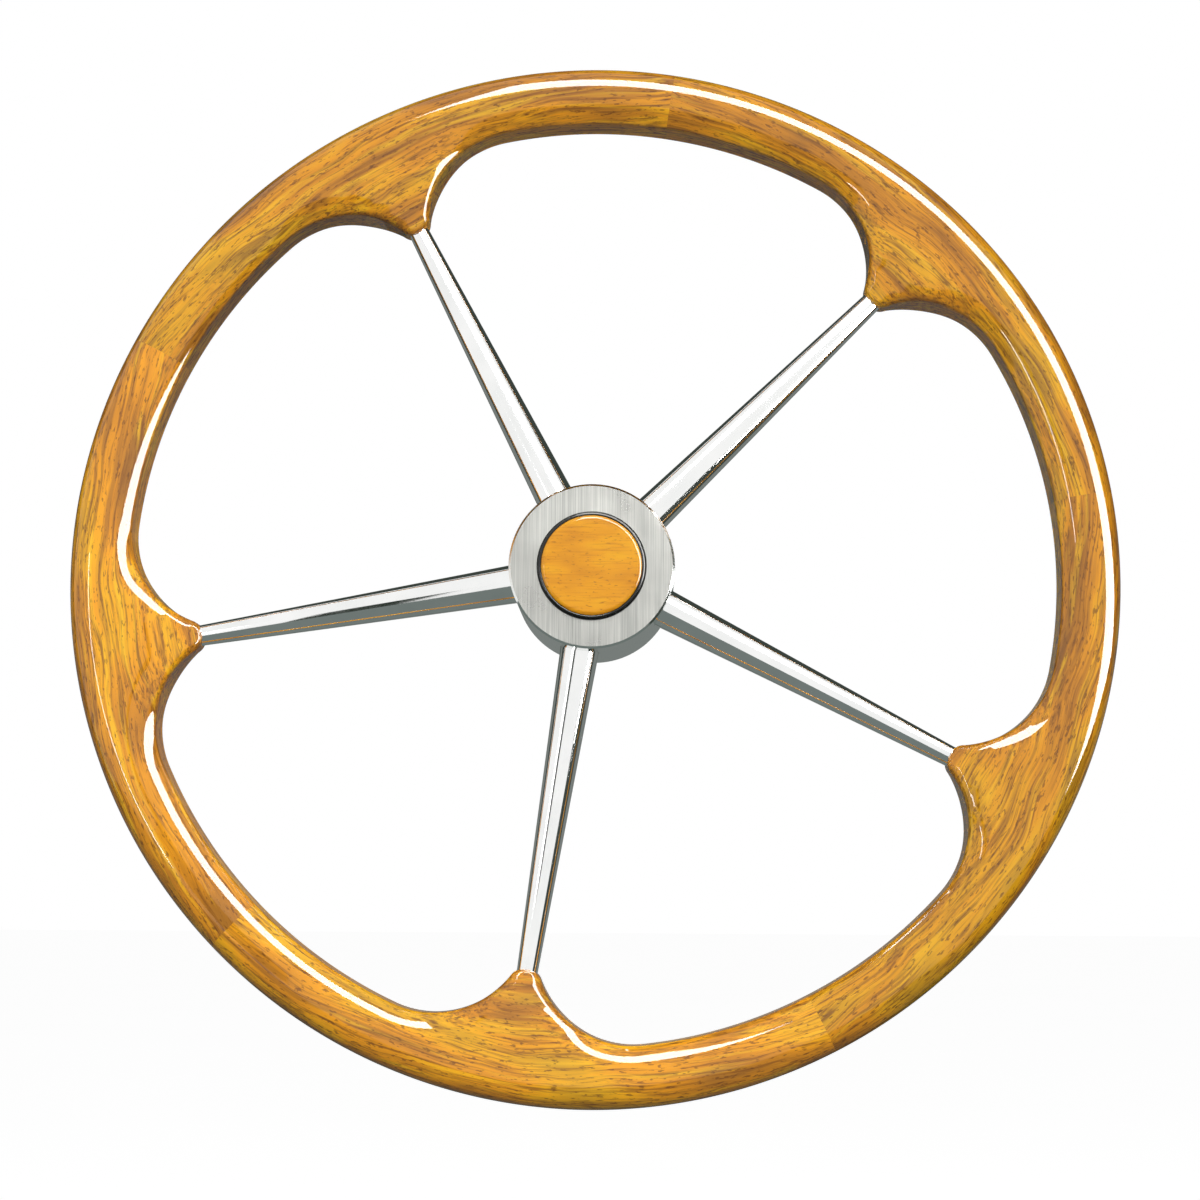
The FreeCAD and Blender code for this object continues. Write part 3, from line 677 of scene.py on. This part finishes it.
# The finish of each CAD node, by the start of its name.
finishes = {
    "rim_segment_": make_rim_wood(),
    "joint_tongue_": make_bare_wood(),
    "spoke_": make_spoke_steel(),
    "hub": make_hub_steel(),
    "cap_disc": make_disc_wood(),
    "cap_cup": make_cap_black(),
    "cap_o_ring": make_seal_rubber(),
}
for board in boards:
    dress(board, finishes["rim_segment_"])
dress(disc, finishes["cap_disc"])
dress(cup, finishes["cap_cup"])
for name, node in nodes.items():
    for start, finish in finishes.items():
        if name.startswith(start):
            dress(node, finish)


# ---- Stage, light and camera ----

# The camera as fitted to the photograph: where it stands from the wheel's middle in degrees and
# metres, how many degrees past the middle it looks to the right and upwards, its roll in degrees,
# and its lens and sensor in millimetres.
CAMERA_AZIMUTH, CAMERA_ELEVATION, CAMERA_DISTANCE = 1.45, -8.5, 0.85
AIM_RIGHT, AIM_UP = 0.18, -0.64
CAMERA_ROLL = 0.35
LENS, SENSOR = 66.66, 36

# Soft light of the world on surfaces: its level, what it gains towards the front and the top, and
# its least.
SOFT_LEVEL, SOFT_FRONT, SOFT_TOP, SOFT_LEAST = 0.085, 0.05, 0.12, 0.05
FLOOR_GLOW = 0.86
LAMP_DISTANCE, LAMP_SIZE = 1.8, 1.0
# How far the strip light reaches inward from the circle that it follows, in metres.
STRIP_INWARD = 0.05


def direction(azimuth, elevation):
    """Unit direction: azimuth from in front towards the right, elevation up, both in degrees."""
    azimuth, elevation = math.radians(azimuth), math.radians(elevation)
    return Vector((
        math.sin(azimuth) * math.cos(elevation),
        -math.cos(azimuth) * math.cos(elevation),
        math.sin(elevation),
    ))


def empty_material(name):
    """A material with nothing on its surface yet, its node tree and its surface socket."""
    material = bpy.data.materials.new(name)
    material.use_nodes = True
    tree = material.node_tree
    tree.nodes.clear()
    return material, tree, tree.nodes.new("ShaderNodeOutputMaterial").inputs["Surface"]


def seen_rays(tree):
    """1 for rays from the camera, from gloss and through glass, and 0 for the rest."""
    path = add_node(tree, "LightPath").outputs
    seen = maths(tree, "MAXIMUM", path["Is Camera Ray"], path["Is Glossy Ray"])
    return maths(tree, "MAXIMUM", seen, path["Is Transmission Ray"])


def add_card(name, points, faces, colour, strength):
    """A studio card that only shows as a reflection in gloss and metal."""
    material, tree, surface = empty_material(name)
    glow = add_node(tree, "Emission", Color=(*colour, 1), Strength=strength)
    link(tree, glow.outputs[0], surface)
    mesh = bpy.data.meshes.new(name)
    mesh.from_pydata([tuple(point) for point in points], [], faces)
    mesh.materials.append(material)
    card = add_object(name, mesh)
    card.visible_camera = False
    card.visible_diffuse = False
    card.visible_transmission = False
    card.visible_shadow = False


def add_near_card(name, azimuths, elevations, colour, strength):
    """A card between two azimuths and two elevations, near the wheel's middle."""
    distance = 0.6
    (left, right), (first, last) = azimuths, elevations
    corners = [(left, first), (right, first), (right, last), (left, last)]
    points = [direction(*corner) * distance for corner in corners]
    add_card(name, points, [(0, 1, 2, 3)], colour, strength)


def add_arc_light(name, first, middle, last, beyond, width, strength, steps=40):
    """A curved strip light outside the circle through three points, turned to the wheel's middle.

    It runs on past the last point, to beyond times the turn from the first to the last.
    """
    first, middle, last = Vector(first), Vector(middle), Vector(last)
    a, b = first - last, middle - last
    cross = a.cross(b)
    to_centre = (b * a.length_squared - a * b.length_squared).cross(cross)
    centre = last + to_centre / (2 * cross.length_squared)
    start, along = first - centre, cross.normalized()
    turn = start.angle(last - centre)
    if (Matrix.Rotation(turn, 3, along) @ start - (last - centre)).length > 1e-4:
        turn = -turn
    points, faces = [], []
    turn *= beyond
    for step in range(steps + 1):
        arm = Matrix.Rotation(turn * step / steps, 3, along) @ start
        point = centre + arm
        side = arm.cross(along).cross(point).normalized()
        if side.dot(Vector((point.x, 0, point.z))) < 0:
            side.negate()
        points += [point - side * STRIP_INWARD, point + side * (width - STRIP_INWARD)]
        if step:
            faces.append((2 * step - 2, 2 * step - 1, 2 * step + 1, 2 * step))
    add_card(name, points, faces, (1, 1, 1), strength)


def add_dark_dome(name, pole, half_angle, radius, colour, rings=24, sides=72):
    """A dark cap of a large ball round the wheel, for the dark edges in the metal."""
    pole = Vector(pole).normalized()
    first = pole.orthogonal().normalized()
    second = pole.cross(first)
    points = [pole * radius]
    for ring in range(1, rings + 1):
        lean = math.radians(half_angle) * ring / rings
        for side in range(sides):
            turn = 2 * math.pi * side / sides
            outward = first * math.cos(turn) + second * math.sin(turn)
            points.append((pole * math.cos(lean) + outward * math.sin(lean)) * radius)
    faces = [(0, 1 + side, 1 + (side + 1) % sides) for side in range(sides)]
    for ring in range(rings - 1):
        low, high = 1 + ring * sides, 1 + (ring + 1) * sides
        for side in range(sides):
            following = (side + 1) % sides
            faces.append((low + side, high + side, high + following, low + following))
    add_card(name, points, faces, colour, 1.0)


def make_floor(height, half_size):
    """Plain pale floor that glows for the camera and keeps the wheel's shadow."""
    mesh = bpy.data.meshes.new("floor")
    corners = [(-1, -1), (1, -1), (1, 1), (-1, 1)]
    points = [(x * half_size, y * half_size, height) for x, y in corners]
    mesh.from_pydata(points, [], [(0, 1, 2, 3)])
    material, tree, surface = empty_material("pale_floor")
    seen = seen_rays(tree)
    grain = noise(tree, object_place(tree), 3.0)
    pale = mixed(tree, grain, (0.70, 0.70, 0.70, 1), (0.74, 0.74, 0.74, 1))
    # It throws back less light on the wheel than the camera sees on it.
    shade = mixed(tree, seen, (0.12, 0.12, 0.12, 1), pale)
    paint = add_node(tree, "BsdfDiffuse", Color=shade)
    strength = maths(tree, "MULTIPLY", seen, FLOOR_GLOW)
    glow = add_node(tree, "Emission", Color=(1, 1, 1, 1), Strength=strength)
    both = tree.nodes.new("ShaderNodeAddShader")
    link(tree, paint.outputs[0], both.inputs[0])
    link(tree, glow.outputs[0], both.inputs[1])
    link(tree, both.outputs[0], surface)
    mesh.materials.append(material)
    floor = add_object("floor", mesh)
    floor.visible_glossy = False


def add_soft_lamp(name, azimuth, elevation, level):
    """Large soft lamp. A white surface turned to it renders at this level."""
    data = bpy.data.lights.new(name, "AREA")
    data.shape = "DISK"
    data.size = LAMP_SIZE
    data.energy = level * (math.pi * LAMP_DISTANCE) ** 2
    lamp = add_object(name, data)
    place = direction(azimuth, elevation) * LAMP_DISTANCE
    turned = place.to_track_quat("Z", "Y").to_matrix().to_4x4()
    lamp.matrix_world = Matrix.Translation(place) @ turned
    lamp.visible_glossy = False
    lamp.visible_camera = False


def make_world():
    """White for the camera and in reflections; soft light on surfaces, strongest from above."""
    world = bpy.data.worlds.new("studio")
    bpy.context.scene.world = world
    world.use_nodes = True
    tree = world.node_tree
    seen = seen_rays(tree)
    generated = add_node(tree, "TexCoord").outputs["Generated"]
    aim = add_node(tree, "SeparateXYZ", Vector=generated).outputs
    soft = maths(tree, "ADD", SOFT_LEVEL, maths(tree, "MULTIPLY", aim["Y"], -SOFT_FRONT))
    soft = maths(tree, "ADD", soft, maths(tree, "MULTIPLY", aim["Z"], SOFT_TOP))
    soft = maths(tree, "MAXIMUM", soft, SOFT_LEAST)
    level = add_node(tree, "Mix", [("data_type", "FLOAT")])
    link(tree, seen, level.inputs[0])
    link(tree, soft, level.inputs[2])
    level.inputs[3].default_value = 1.0
    set_inputs(
        tree, tree.nodes["Background"], Color=(1, 1, 1, 1), Strength=level.outputs[0],
    )


def make_camera():
    """Camera a little below the shaft axis, looking up at the wheel."""
    back = direction(CAMERA_AZIMUTH, CAMERA_ELEVATION)
    azimuth = math.radians(CAMERA_AZIMUTH)
    right = Vector((math.cos(azimuth), math.sin(azimuth), 0))
    up = back.cross(right)
    aim_right, aim_up = math.tan(math.radians(AIM_RIGHT)), math.tan(math.radians(AIM_UP))
    forward = (-back + right * aim_right + up * aim_up).normalized()
    roll = Matrix.Rotation(math.radians(CAMERA_ROLL), 3, back)
    right = roll @ forward.cross(up).normalized()
    up = right.cross(forward).normalized()
    right = forward.cross(up).normalized()
    data = bpy.data.cameras.new("camera")
    data.lens = LENS
    data.sensor_width = SENSOR
    camera = add_object("camera", data)
    turned = Matrix((right, up, -forward)).transposed().to_4x4()
    camera.matrix_world = Matrix.Translation(back * CAMERA_DISTANCE) @ turned
    bpy.context.scene.camera = camera


bpy.context.scene.view_settings.view_transform = "Standard"
make_camera()
make_world()
add_soft_lamp("front_lamp", azimuth=8, elevation=20, level=1.13)
add_soft_lamp("rear_lamp", azimuth=170, elevation=28, level=0.75)
make_floor(height=-0.6, half_size=40)
add_arc_light(
    "strip_light", (-0.13, -0.42, 0.41), (0.335, -0.50, 0.335), (0.551, -0.30, 0),
    beyond=1.22, width=0.29, strength=26.0,
)
# Dark domes by pole, half angle in degrees, radius in metres and colour. A smaller radius lies
# in front of a larger one.
add_dark_dome("dark_dome", (0.27, 0.924, -0.27), 97.5, 1.5, (0.045, 0.056, 0.048))
add_dark_dome("middle_dome", (0.02, 0.99, -0.10), 34, 1.48, (0.10, 0.115, 0.105))
for name, across in (("back_dome", 0.02), ("back_dome_left", -0.74), ("back_dome_right", 0.74)):
    pole = (across, math.sqrt(0.97 - across ** 2), -0.17)
    add_dark_dome(name, pole, 22, 1.46, (0.20, 0.22, 0.21))
add_dark_dome("low_dome", (-0.194, -0.147, -0.970), 61, 1.45, (0.175, 0.205, 0.195))
add_near_card("dark_card", (-28, -20), (5, -18), (0.03, 0.04, 0.032), 1.0)
add_near_card("thin_light", (-39, -36), (-16, 8), (1, 1, 1), 20.0)
